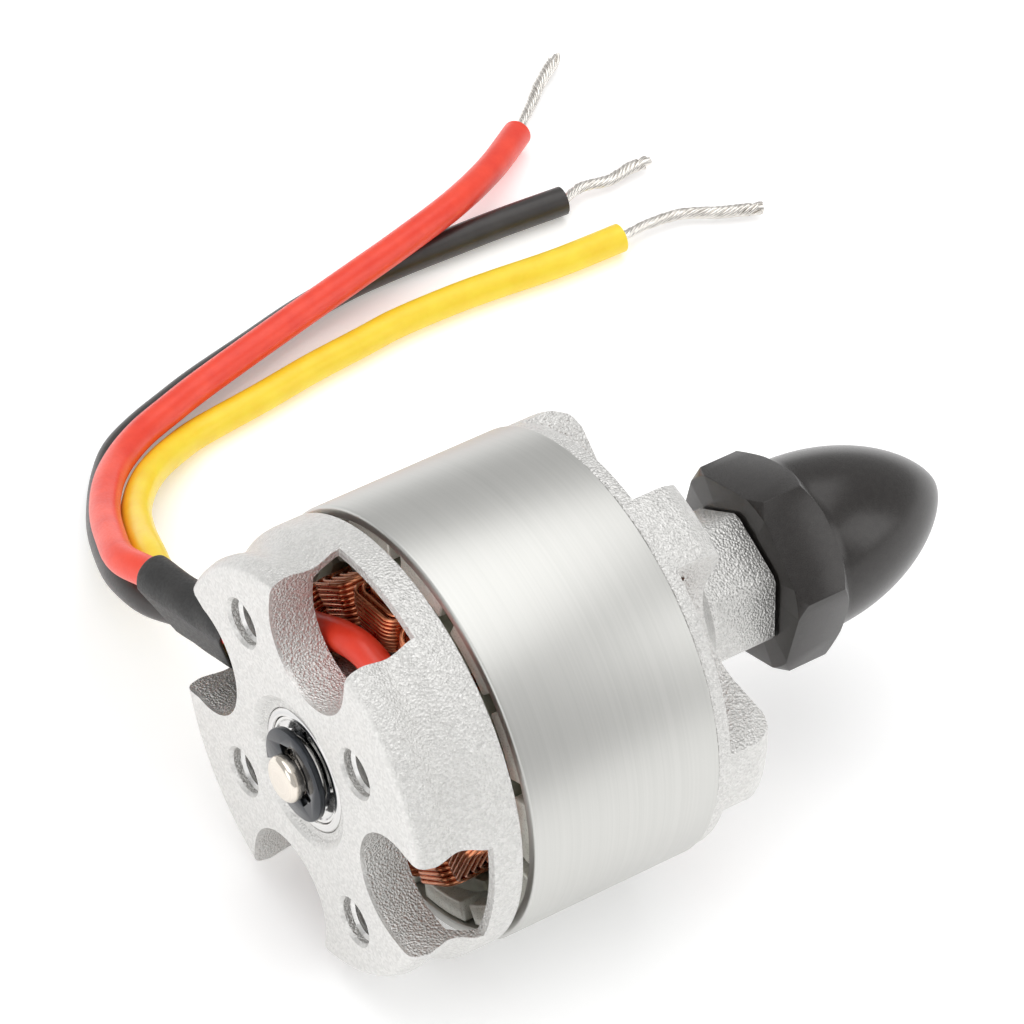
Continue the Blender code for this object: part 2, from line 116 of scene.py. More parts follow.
camera_data = bpy.data.cameras.new("camera")
camera_data.lens = CAMERA_LENS
camera_data.sensor_width = 36
camera_data.clip_start, camera_data.clip_end = 0.01, 10
camera = bpy.data.objects.new("camera", camera_data)
camera.matrix_world = Matrix.Translation(CAMERA_PLACE) @ Matrix(CAMERA_AXES).transposed().to_4x4()
bpy.context.scene.collection.objects.link(camera)
bpy.context.scene.camera = camera


# Node materials

def new_material(name, colour, roughness, metallic=0.0, **sockets):
    material = bpy.data.materials.new(name)
    material.use_nodes = True
    shader = material.node_tree.nodes["Principled BSDF"]
    shader.inputs["Base Color"].default_value = (*colour, 1)
    shader.inputs["Roughness"].default_value = roughness
    shader.inputs["Metallic"].default_value = metallic
    for socket, value in sockets.items():
        shader.inputs[socket.replace("_", " ")].default_value = value
    return material


class Nodes:
    """Small helper that adds and links shader nodes of one material."""

    def __init__(self, material):
        self.tree = material.node_tree
        self.shader = self.tree.nodes["Principled BSDF"]

    def add(self, kind, **settings):
        node = self.tree.nodes.new(kind)
        for key, value in settings.items():
            if key.startswith("in_"):
                node.inputs[key[3:].replace("_", " ")].default_value = value
            else:
                setattr(node, key, value)
        return node

    def link(self, source, target):
        self.tree.links.new(source, target)

    def object_position(self):
        return self.add("ShaderNodeTexCoord").outputs["Object"]

    def noise(self, vector, scale, detail=4.0, roughness=0.55):
        texture = self.add("ShaderNodeTexNoise", in_Scale=scale, in_Detail=detail,
                           in_Roughness=roughness)
        self.link(vector, texture.inputs["Vector"])
        return texture.outputs["Fac"]

    def scaled(self, vector, factors):
        node = self.add("ShaderNodeVectorMath", operation="MULTIPLY")
        self.link(vector, node.inputs[0])
        node.inputs[1].default_value = factors
        return node.outputs[0]

    def remap(self, value, low, high, out_low, out_high):
        node = self.add("ShaderNodeMapRange", in_From_Min=low, in_From_Max=high,
                        in_To_Min=out_low, in_To_Max=out_high)
        self.link(value, node.inputs["Value"])
        return node.outputs["Result"]

    def mix(self, factor, first, second):
        node = self.add("ShaderNodeMix", data_type="RGBA")
        node.inputs[6].default_value = (*first, 1)
        node.inputs[7].default_value = (*second, 1)
        self.link(factor, node.inputs[0])
        return node.outputs[2]

    def bump(self, height, strength, distance, after=None):
        node = self.add("ShaderNodeBump", in_Strength=strength, in_Distance=distance)
        self.link(height, node.inputs["Height"])
        if after is not None:
            self.link(after, node.inputs["Normal"])
        return node.outputs["Normal"]

    def set(self, socket, output):
        self.link(output, self.shader.inputs[socket])


def sandblasted_aluminium():
    """Blasted skin: tiny facets that sparkle on the curved walls; the mounting face is smoother."""
    material = new_material("sandblasted_aluminium", (0.72, 0.71, 0.69), 0.42, 0.75)
    n = Nodes(material)
    place = n.object_position()
    facets = n.add("ShaderNodeTexVoronoi", in_Scale=6200, in_Randomness=1.0)
    n.link(place, facets.inputs["Vector"])
    apart = n.add("ShaderNodeSeparateColor")
    n.link(facets.outputs["Color"], apart.inputs[0])
    along = n.add("ShaderNodeSeparateXYZ")
    n.link(place, along.inputs[0])
    blasted = n.remap(along.outputs[0], 0.0001, 0.0004, 0.15, 1.0)
    grain = n.noise(place, 5000, 3.0, 0.6)
    n.set("Base Color", n.mix(n.remap(apart.outputs[0], 0.1, 0.9, 0, 1), (0.665, 0.658, 0.64),
                              (0.765, 0.757, 0.738)))
    n.set("Roughness", n.remap(apart.outputs[1], 0, 1, 0.34, 0.54))
    pits = n.bump(facets.outputs["Distance"], 0.5, 0.00007)
    skin = n.bump(grain, 0.8, 0.00008, pits)
    n.link(blasted, skin.node.inputs["Strength"])
    n.link(blasted, pits.node.inputs["Strength"])
    n.set("Normal", skin)
    return material


def turned_metal(name, dark, light, rough, lines, strength, metallic=1.0, stretch=0.02, vary=0.2,
                 **sockets):
    """Metal with fine lines round the axis, as a lathe or a brush leaves them."""
    material = new_material(name, light, rough, metallic, **sockets)
    n = Nodes(material)
    place = n.object_position()
    apart = n.add("ShaderNodeSeparateXYZ")
    n.link(place, apart.inputs[0])
    flat = n.add("ShaderNodeCombineXYZ")
    n.link(apart.outputs[1], flat.inputs[1])
    n.link(apart.outputs[2], flat.inputs[2])
    radius = n.add("ShaderNodeVectorMath", operation="LENGTH")
    n.link(flat.outputs[0], radius.inputs[0])
    track = n.add("ShaderNodeCombineXYZ")
    n.link(apart.outputs[0], track.inputs[0])
    n.link(radius.outputs["Value"], track.inputs[1])
    drift = n.scaled(flat.outputs[0], (0, stretch, stretch))
    together = n.add("ShaderNodeVectorMath", operation="ADD")
    n.link(track.outputs[0], together.inputs[0])
    n.link(drift, together.inputs[1])
    streaks = n.noise(together.outputs[0], lines, 5.0, 0.65)
    n.set("Base Color", n.mix(n.remap(streaks, 0.3, 0.7, 0, 1), dark, light))
    n.set("Roughness", n.remap(streaks, 0.25, 0.75, rough * (1 - vary), rough * (1 + vary)))
    n.set("Normal", n.bump(streaks, strength, 0.00004))
    return material


def flecked(name, dark, light, rough, scale, strength, metallic=0.0, **sockets):
    """A finish with soft mottling and a fine surface, for coats, plastics and rubbers."""
    material = new_material(name, light, rough, metallic, **sockets)
    n = Nodes(material)
    place = n.object_position()
    mottle = n.noise(place, scale, 4.0)
    grain = n.noise(place, scale * 12, 2.0)
    n.set("Base Color", n.mix(n.remap(mottle, 0.3, 0.7, 0, 1), dark, light))
    n.set("Roughness", n.remap(grain, 0.3, 0.7, rough * 0.85, rough * 1.2))
    n.set("Normal", n.bump(grain, strength, 0.00003, n.bump(mottle, strength, 0.0001)))
    return material


def laminated_core():
    """Stacked sheets 0.35 mm thick under a thin dark coat."""
    material = new_material("coated_core", (0.25, 0.26, 0.20), 0.42)
    n = Nodes(material)
    place = n.object_position()
    wave = n.add("ShaderNodeTexWave", in_Scale=1000 / 0.35 / 6.28, in_Distortion=0.4,
                 bands_direction="X")
    n.link(place, wave.inputs["Vector"])
    grime = n.noise(place, 900, 4.0)
    n.set("Base Color", n.mix(n.remap(grime, 0.35, 0.7, 0, 1), (0.17, 0.18, 0.13), (0.33, 0.34, 0.27)))
    n.set("Roughness", n.remap(grime, 0.3, 0.7, 0.3, 0.6))
    n.set("Normal", n.bump(wave.outputs["Fac"], 0.5, 0.00005, n.bump(grime, 0.3, 0.00005)))
    return material


def copper_wire():
    """Enamelled wire: red-brown in the hollows, orange where the light catches a strand."""
    material = new_material("enamelled_copper", (0.80, 0.30, 0.14), 0.24, 1.0, Coat_Weight=0.5,
                            Coat_Roughness=0.1)
    n = Nodes(material)
    place = n.object_position()
    tone = n.noise(place, 700, 3.0)
    n.set("Base Color", n.mix(n.remap(tone, 0.3, 0.7, 0, 1), (0.66, 0.20, 0.085), (0.88, 0.37, 0.19)))
    n.set("Roughness", n.remap(tone, 0.3, 0.7, 0.2, 0.34))
    n.set("Normal", n.bump(n.noise(place, 3000, 2.0), 0.08, 0.00003))
    return material


def silicone(name, dark, light, weight):
    material = flecked(name, dark, light, 0.38, 500, 0.06, Subsurface_Weight=weight,
                       Subsurface_Scale=0.0006, Coat_Weight=0.15, Coat_Roughness=0.25)
    material.node_tree.nodes["Principled BSDF"].inputs["Subsurface Radius"].default_value = (1, 0.4, 0.2)
    return material


ALUMINIUM = sandblasted_aluminium()
CAN_STEEL = turned_metal("can_steel", (0.575, 0.575, 0.553), (0.62, 0.617, 0.595), 0.40, 5200, 0.008,
                         stretch=0.003, vary=0.05)
SHAFT_STEEL = turned_metal("bright_steel", (0.72, 0.66, 0.58), (0.86, 0.80, 0.72), 0.14, 6000, 0.06)
RING_STEEL = turned_metal("bearing_steel", (0.62, 0.62, 0.62), (0.80, 0.79, 0.77), 0.10, 6000, 0.04)
NICKEL = flecked("magnet_nickel", (0.72, 0.73, 0.65), (0.90, 0.90, 0.84), 0.3, 900, 0.05, 0.25)
CORE = laminated_core()
COPPER = copper_wire()
CLIP = flecked("clip_steel", (0.025, 0.028, 0.034), (0.05, 0.054, 0.06), 0.14, 900, 0.02, 0.8)
NUT = flecked("black_anodised", (0.020, 0.017, 0.016), (0.028, 0.025, 0.023), 0.28, 2500, 0.02, 0.3,
              Coat_Weight=0.2, Coat_Roughness=0.22)
BRASS = flecked("cage_brass", (0.5, 0.4, 0.25), (0.66, 0.55, 0.36), 0.3, 900, 0.06, 1.0)
TIN = flecked("tinned_strands", (0.6, 0.57, 0.53), (0.85, 0.82, 0.78), 0.24, 1500, 0.2, 1.0)
SHRINK = flecked("heat_shrink", (0.016, 0.016, 0.016), (0.032, 0.031, 0.03), 0.55, 420, 0.15)
RUBBERS = {
    "red": silicone("red_silicone", (0.80, 0.04, 0.016), (0.92, 0.07, 0.03), 0.15),
    "yellow": silicone("yellow_silicone", (0.92, 0.64, 0.02), (0.98, 0.74, 0.04), 0.25),
    "black": silicone("black_silicone", (0.022, 0.019, 0.018), (0.036, 0.031, 0.029), 0.05),
}
THREAD = turned_metal("cut_thread", (0.62, 0.62, 0.61), (0.84, 0.83, 0.81), 0.3, 4000, 0.1)
STUD = turned_metal("stud_metal", (0.55, 0.55, 0.54), (0.75, 0.74, 0.72), 0.25, 4000, 0.1)
FLOOR = new_material("floor", (0.97, 0.97, 0.97), 0.7, Emission_Strength=0.24,
                     Emission_Color=(1, 1, 1, 1))

# name, place in metres, size in metres, power in watts
LIGHTS = (
    ("top_softbox", (0.05, 0.10, 0.60), (0.80, 0.80), 2.5),
    ("front_softbox", (-0.55, -0.10, 0.25), (0.40, 0.40), 0.6),
    ("right_softbox", (0.45, -0.35, 0.25), (0.25, 0.40), 0.5),
)


# Mesh helpers

def finish_mesh(name, mesh, material, body, sharp=32):
    """Puts a mesh made in millimetres in the scene and rides it on its body."""
    mesh.transform(Matrix.Scale(MM, 4))
    mesh.shade_smooth()
    mesh.set_sharp_from_angle(angle=radians(sharp))
    mesh.materials.clear()
    mesh.materials.append(material)
    piece = bpy.data.objects.new(name, mesh)
    bpy.context.scene.collection.objects.link(piece)
    if body:
        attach(piece, body)
    return piece


def polar(radius, angle):
    """A point (y, z) at an angle in degrees."""
    return (radius * cos(radians(angle)), radius * sin(radians(angle)))


def arc(radius, start, end, steps, centre=(0, 0)):
    """Points along an arc between two angles."""
    angles = [start + (end - start) * i / steps for i in range(steps + 1)]
    return [tuple(c + p for c, p in zip(centre, polar(radius, a))) for a in angles]


def turn(points, angle):
    """Points turned round the axis."""
    c, s = cos(radians(angle)), sin(radians(angle))
    return [(x * c - y * s, x * s + y * c) for x, y in points]


def filleted(corners, closed=True, steps=4):
    """Rounds an outline's corners. A corner is (x, y) or (x, y, radius)."""
    found = []
    count = len(corners)
    for i, corner in enumerate(corners):
        here = Vector(corner[:2])
        radius = corner[2] if len(corner) > 2 else 0
        if not radius or (not closed and i in (0, count - 1)):
            found.append(tuple(here))
            continue
        before = (Vector(corners[i - 1][:2]) - here)
        after = (Vector(corners[(i + 1) % count][:2]) - here)
        half = before.angle(after) / 2
        reach = min(radius / max(1e-6, abs(sin(half) / cos(half))), before.length * 0.49,
                    after.length * 0.49)
        radius = reach * abs(sin(half) / cos(half))
        start, end = here + before.normalized() * reach, here + after.normalized() * reach
        centre = here + (before.normalized() + after.normalized()).normalized() * (
            sqrt(radius * radius + reach * reach))
        a, b = start - centre, end - centre
        for k in range(steps + 1):
            t = k / steps
            swing = a.lerp(b, t)
            found.append(tuple(centre + swing.normalized() * radius))
    return found


def lathe(profile, steps=128, phase=0.0, solid=False):
    """Turns (radius, height) points round the axis; a solid's profile ends lie on the axis."""
    work = bmesh.new()
    ends = len(profile) - 1
    rings = []
    for i, (r, h) in enumerate(profile):
        if solid and i in (0, ends):
            rings.append([work.verts.new((h, 0, 0))])
            continue
        rings.append([work.verts.new((h, *polar(r, phase + 360 * k / steps))) for k in range(steps)])
    pairs = list(zip(rings, rings[1:])) + ([] if solid else [(rings[-1], rings[0])])
    for first, second in pairs:
        for k in range(steps):
            m = (k + 1) % steps
            if len(first) == 1:
                work.faces.new((first[0], second[m], second[k]))
            elif len(second) == 1:
                work.faces.new((first[k], first[m], second[0]))
            else:
                work.faces.new((first[k], first[m], second[m], second[k]))
    bmesh.ops.recalc_face_normals(work, faces=work.faces)
    mesh = bpy.data.meshes.new("turned")
    work.to_mesh(mesh)
    work.free()
    return mesh


def prism(outline, low, high):
    """Extrudes an outline of (y, z) points along the axis."""
    work = bmesh.new()
    face = work.faces.new([work.verts.new((low, y, z)) for y, z in outline])
    grown = bmesh.ops.extrude_face_region(work, geom=[face])
    bmesh.ops.translate(work, vec=(high - low, 0, 0),
                        verts=[v for v in grown["geom"] if isinstance(v, bmesh.types.BMVert)])
    bmesh.ops.recalc_face_normals(work, faces=work.faces)
    mesh = bpy.data.meshes.new("prism")
    work.to_mesh(mesh)
    work.free()
    return mesh


def combined(mesh, others, operation="DIFFERENCE"):
    """Cuts, joins or intersects a mesh with others, one after another."""
    piece = bpy.data.objects.new("work", mesh)
    bpy.context.scene.collection.objects.link(piece)
    tools = []
    for other in others:
        tool = bpy.data.objects.new("tool", other)
        bpy.context.scene.collection.objects.link(tool)
        tools.append(tool)
        change = piece.modifiers.new("change", "BOOLEAN")
        change.operation, change.object, change.solver = operation, tool, "EXACT"
    graph = bpy.context.evaluated_depsgraph_get()
    result = bpy.data.meshes.new_from_object(piece.evaluated_get(graph))
    for extra in [piece] + tools:
        bpy.data.objects.remove(extra, do_unlink=True)
    return result


def softened(mesh, width, segments=2, angle=35):
    """Rounds the mesh's sharp edges."""
    piece = bpy.data.objects.new("work", mesh)
    bpy.context.scene.collection.objects.link(piece)
    weld = piece.modifiers.new("weld", "WELD")
    weld.merge_threshold = 0.004
    bevel = piece.modifiers.new("bevel", "BEVEL")
    bevel.width, bevel.segments = width, segments
    bevel.angle_limit = radians(angle)
    bevel.use_clamp_overlap = True
    bevel.miter_outer = "MITER_ARC"
    graph = bpy.context.evaluated_depsgraph_get()
    result = bpy.data.meshes.new_from_object(piece.evaluated_get(graph))
    bpy.data.objects.remove(piece, do_unlink=True)
    return result


def joined(meshes):
    """Several meshes as one."""
    work = bmesh.new()
    for mesh in meshes:
        work.from_mesh(mesh)
    result = bpy.data.meshes.new("joined")
    work.to_mesh(result)
    work.free()
    return result


def swept(points, radius, sides=10, closed=False, caps=True):
    """A round tube along points; radius may be a function of the share along it."""
    work = bmesh.new()
    count = len(points)
    points = [Vector(p) for p in points]
    rings = []
    normal = None
    for i, point in enumerate(points):
        ahead = points[(i + 1) % count] if closed else points[min(i + 1, count - 1)]
        behind = points[i - 1] if closed or i else points[0]
        tangent = (ahead - behind).normalized()
        if normal is None:
            normal = tangent.orthogonal().normalized()
        normal = (normal - tangent * normal.dot(tangent)).normalized()
        side = tangent.cross(normal)
        size = radius(i / (count - 1)) if callable(radius) else radius
        rings.append([work.verts.new(point + normal * (size * cos(tau * k / sides))
                                     + side * (size * sin(tau * k / sides))) for k in range(sides)])
    pairs = list(zip(rings, rings[1:]))
    if closed:
        twist = min(range(sides), key=lambda s: (rings[0][s].co - rings[-1][0].co).length)
        pairs.append((rings[-1], rings[0][twist:] + rings[0][:twist]))
    for first, second in pairs:
        for k in range(sides):
            m = (k + 1) % sides
            work.faces.new((first[k], first[m], second[m], second[k]))
    if caps and not closed:
        work.faces.new(rings[0][::-1])
        work.faces.new(rings[-1])
    bmesh.ops.recalc_face_normals(work, faces=work.faces)
    mesh = bpy.data.meshes.new("swept")
    work.to_mesh(mesh)
    work.free()
    return mesh


def thread(root, crest, pitch, low, high, steps=40, phase=0.0):
    """A screw thread's ridge: crest outside root for a screw, inside it for a nut."""
    work = bmesh.new()
    turns = (high - low) / pitch - 1
    total = max(steps, int(turns * steps))
    section = [(-0.46, root), (-0.08, crest), (0.08, crest), (0.46, root)]
    rings = []
    for i in range(total + 1):
        share = i / total
        fade = min(1, share * turns * 1.6, (1 - share) * turns * 1.6)
        angle = phase + 360 * turns * share
        middle = low + pitch * (0.5 + turns * share)
        rings.append([work.verts.new((middle + h * pitch, *polar(root + (r - root) * fade, angle)))
                      for h, r in section])
    for first, second in zip(rings, rings[1:]):
        for k in range(len(section)):
            m = (k + 1) % len(section)
            work.faces.new((first[k], second[k], second[m], first[m]))
    work.faces.new(rings[0])
    work.faces.new(rings[-1][::-1])
    bmesh.ops.recalc_face_normals(work, faces=work.faces)
    mesh = bpy.data.meshes.new("thread")
    work.to_mesh(mesh)
    work.free()
    return mesh


# Leads

SLEEVE_MOUTH = Vector((2.23, 17.66, -2.59))
SLEEVE_ALONG = Vector((-0.03, 0.935, -0.352)).normalized()
SLEEVE_STACK = Vector((0.728, 0.307, 0.613)).cross(SLEEVE_ALONG).normalized()
SLEEVE_ACROSS = SLEEVE_ALONG.cross(SLEEVE_STACK)
SLEEVE_LENGTH, SLEEVE_SKEW = 8.1, 0.72
SLEEVE_SPOTS = {"red": (1.96, 0.55), "yellow": (0.0, 0.0), "black": (-1.96, -0.55)}
LEAD_INSIDE = {
    "red": [(4.4, -3.0, 7.8), (4.3, 0.0, 8.2), (4.25, 2.5, 7.25), (4.25, 5.0, 5.5),
            (4.25, 6.9, 4.25), (4.2, 8.6, 3.0), (3.0, 9.4, 2.45)],
    "yellow": [],
    "black": [(4.1, 8.9, -2.3)],
}
LEAD_OUTSIDE = {
    "red": [(1.2, 21.8, -2.7), (2.6, 25.4, -4.9), (4.5, 29.2, -7.2), (6.8, 32.6, -9.0),
            (9.3, 35.2, -10.4), (11.9, 36.9, -11.0), (14.8, 38.0, -11.2), (17.6, 38.9, -11.3),
            (21.9, 39.8, -11.0), (26.4, 40.7, -10.7), (31.0, 41.8, -10.7), (35.7, 43.0, -10.8),
            (41.0, 44.6, -11.0), (45.6, 46.9, -11.8), (49.7, 49.7, -12.8)],
    "yellow": [(3.7, 22.6, -4.3), (5.3, 26.3, -6.7), (7.2, 29.8, -9.0), (9.5, 32.7, -10.7),
               (11.8, 34.7, -11.9), (14.1, 35.9, -12.5), (16.4, 36.7, -12.9),
               (21.4, 37.3, -12.9), (25.6, 37.9, -12.9), (29.8, 38.3, -12.9),
               (32.8, 38.6, -12.9), (37.1, 38.6, -12.9), (40.5, 38.4, -12.9),
               (45.2, 38.0, -12.9), (50.2, 37.9, -12.9)],
    "black": [(2.4, 20.4, -5.8), (2.5, 23.4, -7.0), (3.2, 26.0, -8.2), (4.8, 29.8, -10.0),
              (6.7, 33.1, -11.7), (8.7, 35.9, -12.6), (10.6, 37.8, -12.9), (12.9, 38.9, -12.9),
              (15.7, 39.8, -12.9), (18.5, 40.6, -12.9), (23.0, 41.6, -12.9),
              (27.5, 42.6, -12.9), (31.8, 43.2, -12.9), (36.1, 43.3, -12.9),
              (40.2, 43.2, -12.9), (43.9, 43.1, -12.9), (48.8, 42.8, -12.9)],
}
TIP_ROUTES = {
    "red": [(50.0, 49.95, -12.85), (52.4, 51.9, -13.0), (54.0, 53.3, -13.15), (56.6, 55.1, -13.2)],
    "yellow": [(50.5, 37.95, -12.95), (52.6, 38.2, -13.1), (55.2, 38.0, -13.2),
               (57.7, 36.8, -13.2), (60.5, 35.7, -13.2)],
    "black": [(49.1, 42.85, -12.95), (50.7, 43.4, -13.1), (52.9, 43.1, -13.2),
              (54.8, 43.4, -13.2), (56.4, 43.3, -13.2)],
}


def smooth_route(points, step):
    """Points about one step apart on a smooth curve (Catmull-Rom) through a route's points."""
    route = [Vector(p) for p in points]
    route = [2 * route[0] - route[1]] + route + [2 * route[-1] - route[-2]]
    found = []
    for a, b, c, d in zip(route, route[1:], route[2:], route[3:]):
        count = max(1, round((c - b).length / step))
        for i in range(count):
            t = i / count
            found.append(0.5 * (2 * b + (c - a) * t + (2 * a - 5 * b + 4 * c - d) * t * t
                                + (3 * b - a - 3 * c + d) * t * t * t))
    return found + [route[-2]]


def make_leads():
    """The wires' jackets, from their ends inside the base through the sleeve to their bare tips."""
    for colour, (stacked, across) in SLEEVE_SPOTS.items():
        mouth = SLEEVE_MOUTH + SLEEVE_STACK * stacked + SLEEVE_ACROSS * across
        inside = SLEEVE_LENGTH + SLEEVE_SKEW * stacked
        in_sleeve = [mouth - SLEEVE_ALONG * (inside * share) for share in (1, 0.5, 0)]
        route = smooth_route(LEAD_INSIDE[colour] + in_sleeve + LEAD_OUTSIDE[colour], 0.5)
        lead = finish_mesh(f"lead_{colour}_jacket", swept(route, LEAD_RADIUS, 32), RUBBERS[colour],
                           "stator", 60)
        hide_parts(f"lead_{colour}")
        tip = make_tip(colour)


def make_tip(colour):
    """The bared end: strands twisted round each other and tinned, a little knobbly."""
    route = [Vector(p) for p in TIP_ROUTES[colour]]
    start = Vector(LEAD_OUTSIDE[colour][-1])
    path = smooth_route([start + (start - route[0]) * 0.8, *route], 0.2)
    count, strand, twist = 8, 0.13, 3.2
    random.seed(f"tip {colour}")
    phase = random.uniform(0, 40)

    def thickness(share):
        return 0.14 + 0.14 * share + 0.05 * noise.noise(Vector((share * 9, phase, 0)))

    meshes = [swept(path, thickness, 16)]
    lengths = [0.0]
    for a, b in zip(path, path[1:]):
        lengths.append(lengths[-1] + (b - a).length)
    for number in range(count):
        points = []
        for i in range(len(path) - random.randint(0, 5)):
            ahead, behind = path[min(i + 1, len(path) - 1)], path[max(i - 1, 0)]
            tangent = (ahead - behind).normalized()
            side = tangent.cross(Vector((0, 0, 1))).normalized()
            up = side.cross(tangent)
            turned = tau * (number / count + lengths[i] / twist)
            angle = turned + 0.3 * noise.noise(Vector((lengths[i], number * 3.1, phase)))
            spread = 0.5 + 0.5 * (lengths[i] / lengths[-1]) ** 0.7
            loose = abs(noise.noise(Vector((lengths[i] * 0.8, number, phase))))
            out = (TIP_RADIUS - strand) * spread - 0.08 * loose
            points.append(path[i] + (side * cos(angle) + up * sin(angle)) * out)
        meshes.append(swept(points, strand, 8))
    tip = finish_mesh(f"tinned_strands_{colour}", joined(meshes), TIN, "stator", 50)
    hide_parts(f"lead_tip_{colour}")
    return tip


def make_sleeve():
    """Heat-shrink drawn round the three wires, its mouth a little uneven."""
    wall, steps, rows = 0.24, 96, 40
    length = SLEEVE_LENGTH - 0.6
    random.seed("sleeve")
    work = bmesh.new()
    layers = []
    for radius, inner in ((LEAD_RADIUS + 0.06 + wall, False), (LEAD_RADIUS + 0.06, True)):
        rings = []
        for row in range(rows + 1):
            share = row / rows
            ring = []
            for k in range(steps):
                x, y = polar(1, 360 * (k + 0.5) / steps)
                # the skin follows whichever wire reaches furthest this way
                reach = [s[0] * x + s[1] * y for s in SLEEVE_SPOTS.values()]
                top = max(reach)
                spot = list(SLEEVE_SPOTS.values())[reach.index(top)]
                px, py = spot[0] + radius * x, spot[1] + radius * y
                back = (length + SLEEVE_SKEW * px) * (share - 1)
                flare = 1 + 0.012 * sin(7 * share + x * 2)
                wrinkle = noise.noise(Vector((x * 1.2, y * 1.2, back * 0.5))) * 0.07
                edge = 0.12 * noise.noise(Vector((x * 1.5, y * 1.5, 3))) if row == rows else 0
                px, py = px * flare + x * wrinkle, py * flare + y * wrinkle
                place = (SLEEVE_MOUTH + SLEEVE_STACK * px + SLEEVE_ACROSS * py
                         + SLEEVE_ALONG * (back + edge))
                ring.append(work.verts.new(place))
            rings.append(ring)
        layers.append(rings if not inner else rings[::-1])
    outside, inside = layers
    rounds = outside + inside
    for first, second in zip(rounds, rounds[1:] + rounds[:1]):
        for k in range(steps):
            m = (k + 1) % steps
            work.faces.new((first[k], first[m], second[m], second[k]))
    bmesh.ops.recalc_face_normals(work, faces=work.faces)
    mesh = bpy.data.meshes.new("sleeve")
    work.to_mesh(mesh)
    work.free()
    mesh = softened(mesh, 0.1, 2, 50)
    sleeve = finish_mesh("heat_shrink_sleeve", mesh, SHRINK, "stator", 60)
    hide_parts("lead_sleeve")


# Stator

def base_profile():
    """The base's outline: face, waisted rim, inner steps, bearing tube. Counter-clockwise in (r, x)."""
    waist = smooth_route([(13.37, 1.05, 0), (13.33, 1.5, 0), (13.08, 2.7, 0), (13.25, 3.4, 0),
                          (13.71, 4.2, 0), (13.82, 4.65, 0)], 0.12)
    lower, upper = BEARINGS["lower"], BEARINGS["upper"]
    seat = BEARING_RADIUS + 0.02
    corners = [(4.95, 0.0, 0.06), (12.55, 0.0, 0.2), (12.95, 0.1, 0.5), (13.2, 0.42, 0.5)]
    corners += [(p.x, p.y) for p in waist]
    corners += [
        (RIM_RADIUS, 5.0, 0.1), (RIM_RADIUS, 6.7, 0.12), (13.3, 6.7, 0.08),
        (13.2, 4.5, 0.4), (12.7, 3.5, 0.4), (12.3, PLATE, 0.3), (5.75, PLATE, 0.4),
        (5.5, STATOR_START - 0.1, 0.1),
        (4.75, STATOR_START - 0.1, 0.05), (4.75, TUBE_END, 0.12), (seat, TUBE_END, 0.08),
        (seat, upper[0] - 0.05), (3.5, upper[0] - 0.05), (3.5, lower[1] + 0.05),
        (seat, lower[1] + 0.05), (seat, 0.42, 0.03), (4.45, 0.42, 0.08),
    ]
    return filleted(corners)


def window_outline(mouth):
    """A U-shaped window; the one for the wires opens wider at the rim."""
    reach = CAN_RADIUS + 2
    return arc(WINDOW_HALF, 90, 270, 40, (WINDOW_CENTRE, 0)) + [(reach, -mouth), (reach, mouth)]


def make_base():
    """The blasted base with its windows and threaded holes."""
    cutters = []
    for number in range(4):
        mouth = WINDOW_HALF if number else WIRE_WINDOW_HALF
        cutters.append(prism(turn(window_outline(mouth), 90 * number), -1, WINDOW_TOP))
        centre = polar(HOLE_CIRCLES[number % 2], 45 + 90 * number)
        cutters.append(cylinder(1.5, -1, PLATE + 1, centre))
        cutters.append(cylinder(1.9, -0.3, 0.0, centre, end_radius=1.45, reach=0.3))
    mesh = combined(lathe(base_profile(), 180), cutters)
    mesh = softened(mesh, 0.13, 3, 38)
    base = finish_mesh("base_casting", mesh, ALUMINIUM, "stator", 30)
    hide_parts("base_mount")
    for number in range(4):
        centre = polar(HOLE_CIRCLES[number % 2], 45 + 90 * number)
        ridge = thread(1.52, 1.27, 0.5, 0.2, PLATE - 0.1)
        ridge.transform(Matrix.Translation((0, *centre)))
        finish_mesh(f"screw_thread_{number + 1}", ridge, THREAD, "stator", 25)


def cylinder(radius, low, high, centre=(0, 0), end_radius=None, reach=0.0, steps=48):
    """A cylinder along the axis, or a cone whose narrow end reaches further in."""
    end_radius = radius if end_radius is None else end_radius
    high += reach
    mesh = lathe([(0, high), (end_radius, high), (radius, low), (0, low)], steps, solid=True)
    mesh.transform(Matrix.Translation((0, *centre)))
    return mesh


def make_core():
    """Twelve teeth with their shoes, on the bearing tube."""
    yoke, neck, shoe, half_tooth, half_shoe = 6.3, 10.15, 10.45, 0.9, 12
    side = degrees(asin(half_tooth / yoke))
    tooth = [(*polar(yoke, -side), 0.4), (neck - 0.1, -half_tooth, 0.3), (*polar(shoe, -half_shoe), 0.05)]
    tooth += arc(STATOR_RADIUS, -half_shoe, half_shoe, 8)
    tooth += [(*polar(shoe, half_shoe), 0.05), (neck - 0.1, half_tooth, 0.3), (*polar(yoke, side), 0.4)]
    outline = []
    for number in range(TEETH):
        angle = TOOTH_PHASE + 360 * number / TEETH
        for corner in tooth:
            outline.append((*turn([corner[:2]], angle)[0], *corner[2:]))
    body = prism(filleted(outline, steps=3), STATOR_START, STATOR_END)
    mesh = combined(body, [cylinder(4.87, STATOR_START - 1, STATOR_END + 1, steps=96)])
    core = finish_mesh("laminated_stack", softened(mesh, 0.06, 2, 40), CORE, "stator")
    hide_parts("stator_core")


